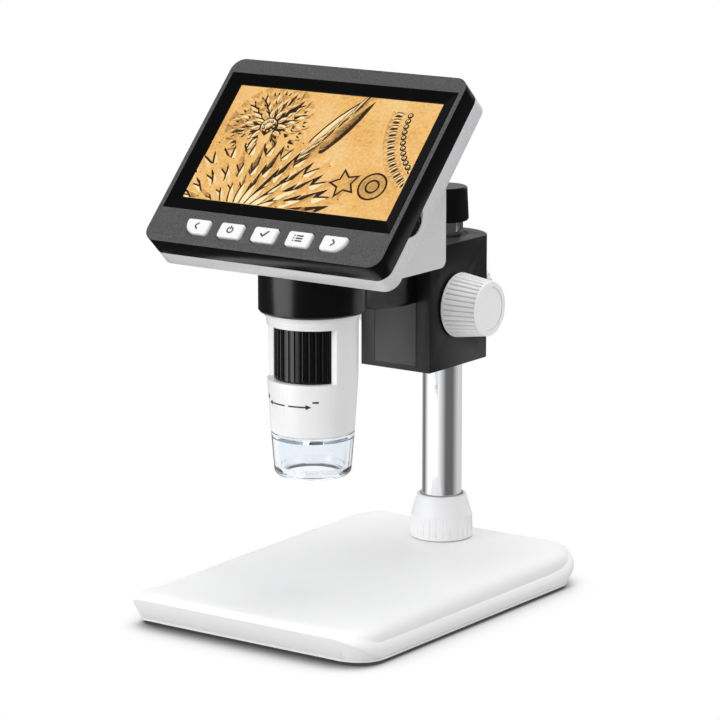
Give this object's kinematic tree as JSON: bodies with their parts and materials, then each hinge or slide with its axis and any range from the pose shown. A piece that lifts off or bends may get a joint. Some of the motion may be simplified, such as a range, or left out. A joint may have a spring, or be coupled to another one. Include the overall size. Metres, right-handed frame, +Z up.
{
  "type": "digital microscope",
  "caption": "Digital microscope with a tilted screen and keys above a focusing tube with a clear tip, held by a bracket with height knobs on a chrome pole over a white base.",
  "frame": {"origin": "centre of the base's footprint, on the table", "axes": "+Z up, +X to the right of someone facing the screen, -Y towards them"},
  "size_m": [0.11, 0.156, 0.2133],
  "materials": {
    "white_gloss": "gloss",
    "black_gloss": "gloss",
    "black_satin": "satin",
    "grey_satin": "satin",
    "dark_inner": "matte",
    "bearing": "satin",
    "ivory": "satin",
    "chrome": "polished",
    "steel": "brushed",
    "brass": "satin",
    "cast": "satin",
    "black_alu": "satin",
    "rubber": "matte",
    "foam": "matte",
    "screen": "gloss",
    "clear": "gloss",
    "lens": "polished",
    "board": "satin",
    "chip": "satin",
    "cell": "satin",
    "flex": "satin",
    "lamp": "gloss"
  },
  "bodies": {
    "stand": {"base_shell": "white_gloss", "base_cover": "white_gloss", "ballast_plate": "steel", "base_feet": "rubber", "base_screws": "steel", "pole_socket": "cast", "pole": "chrome", "pole_plug": "steel", "pole_bolt": "steel", "collet": "ivory", "pole_cap": "black_satin"},
    "collar": {"base_collar": "white_gloss"},
    "bracket": {"block_body": "black_satin", "slide_bushes": "bearing", "shaft_bushes": "brass", "brake_pad": "ivory"},
    "lock": {"lock_knob": "white_gloss"},
    "drive": {"drive_shaft": "steel", "drive_roller": "rubber", "knob_left": "white_gloss", "knob_right": "white_gloss", "knob_discs": "white_gloss"},
    "head": {"front_bezel": "grey_satin", "window_frame": "black_gloss", "lcd_panel": "screen", "lcd_tray": "steel", "foam_pads": "foam", "main_board": "board", "board_screws": "steel", "board_chips": "chip", "button_board": "board", "tact_switches": "dark_inner", "battery": "cell", "usb_port": "steel", "card_slot": "steel", "dial_potentiometer": "dark_inner", "rear_cover": "white_gloss", "cover_screws": "steel", "neck_housing": "black_satin", "neck_screws": "steel", "sensor_holder": "dark_inner", "sensor_board": "board", "image_sensor": "lens", "flex_cable": "flex", "tube_sleeve": "white_gloss", "guide_tube": "dark_inner", "clear_tip": "clear", "led_board": "board", "leds": "lamp"},
    "dial": {"brightness_dial": "black_satin"},
    "key_back": {"button_back": "white_gloss"},
    "key_power": {"button_power": "white_gloss"},
    "key_ok": {"button_ok": "white_gloss"},
    "key_menu": {"button_menu": "white_gloss"},
    "key_next": {"button_next": "white_gloss"},
    "focus": {"focus_wheel": "black_satin"},
    "lens": {"lens_barrel": "black_alu", "lens_pins": "steel", "front_lens": "lens", "rear_lens": "lens"}
  },
  "joints": [
    {"name": "collar_turn", "type": "hinge", "parent": "stand", "child": "collar", "pos_m": [0, 0.0563, 0.0161], "axis": [0, 0, 1], "range_deg": [0, 120]},
    {"name": "bracket_slide", "type": "slide", "parent": "stand", "child": "bracket", "axis": [0, 0, 1], "range_m": [-0.04, 0.005]},
    {"name": "drive_turn", "type": "hinge", "parent": "bracket", "child": "drive", "pos_m": [0, 0.0422, 0.1156], "axis": [1, 0, 0], "range_deg": [-50, 380]},
    {"name": "lock_turn", "type": "hinge", "parent": "bracket", "child": "lock", "pos_m": [0, 0.0735, 0.1156], "axis": [0, 1, 0], "range_deg": [-90, 180]},
    {"name": "head_lift", "type": "slide", "parent": "bracket", "child": "head", "axis": [0, 0, 1], "range_m": [0, 0.045]},
    {"name": "dial_turn", "type": "hinge", "parent": "head", "child": "dial", "pos_m": [0.0459, -0.04102, 0.16234], "axis": [0, -0.7242, 0.6896], "range_deg": [-135, 135]},
    {"name": "key_back_press", "type": "slide", "parent": "head", "child": "key_back", "axis": [0, 0.7242, -0.6896], "range_m": [0, 0.0008], "stiffness_N_per_m": 250, "springref_m": -0.001},
    {"name": "key_power_press", "type": "slide", "parent": "head", "child": "key_power", "axis": [0, 0.7242, -0.6896], "range_m": [0, 0.0008], "stiffness_N_per_m": 250, "springref_m": -0.001},
    {"name": "key_ok_press", "type": "slide", "parent": "head", "child": "key_ok", "axis": [0, 0.7242, -0.6896], "range_m": [0, 0.0008], "stiffness_N_per_m": 250, "springref_m": -0.001},
    {"name": "key_menu_press", "type": "slide", "parent": "head", "child": "key_menu", "axis": [0, 0.7242, -0.6896], "range_m": [0, 0.0008], "stiffness_N_per_m": 250, "springref_m": -0.001},
    {"name": "key_next_press", "type": "slide", "parent": "head", "child": "key_next", "axis": [0, 0.7242, -0.6896], "range_m": [0, 0.0008], "stiffness_N_per_m": 250, "springref_m": -0.001},
    {"name": "focus_turn", "type": "hinge", "parent": "head", "child": "focus", "pos_m": [0, -0.0318, 0.1059], "axis": [0, 0, 1], "range_deg": [-150, 150]},
    {"name": "lens_slide", "type": "slide", "parent": "head", "child": "lens", "axis": [0, 0, 1], "range_m": [-0.0025, 0.0025]}
  ],
  "couplings": [
    {"joint": "drive_turn", "follows": "bracket_slide", "rad_per_m": -165.29},
    {"joint": "lens_slide", "follows": "focus_turn", "m_per_rad": 0.00095}
  ]
}
